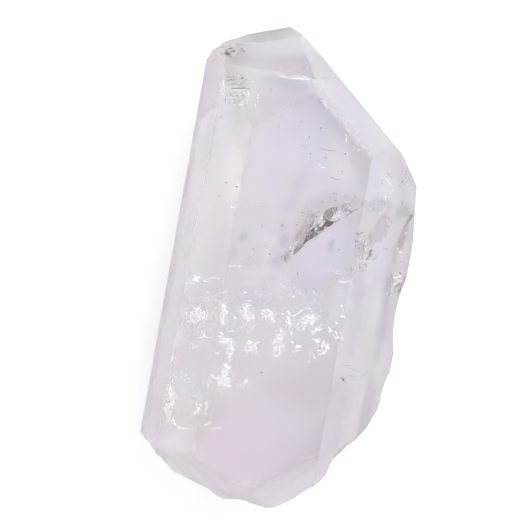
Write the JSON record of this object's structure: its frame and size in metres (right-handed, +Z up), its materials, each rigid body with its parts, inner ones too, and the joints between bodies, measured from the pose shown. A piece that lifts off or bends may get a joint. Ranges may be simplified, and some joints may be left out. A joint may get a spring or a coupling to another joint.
{
  "type": "quartz crystal",
  "caption": "Clear hexagonal quartz point with a broken base and white and smoky inner fractures, lying on a prism face as a mineral specimen or display stone.",
  "frame": {"origin": "on the surface that the crystal lies on, under the middle of its length and width", "axes": "+Y along the crystal's long axis towards the point, +Z up through the broad top face, +X towards the worn side"},
  "size_m": [0.0318, 0.0643, 0.0175],
  "materials": {
    "clear_quartz": "clear, faintly lilac, polished on the crystal faces and frosted on the broken base"
  },
  "bodies": {
    "root": {"quartz_crystal": "clear_quartz"}
  },
  "joints": []
}
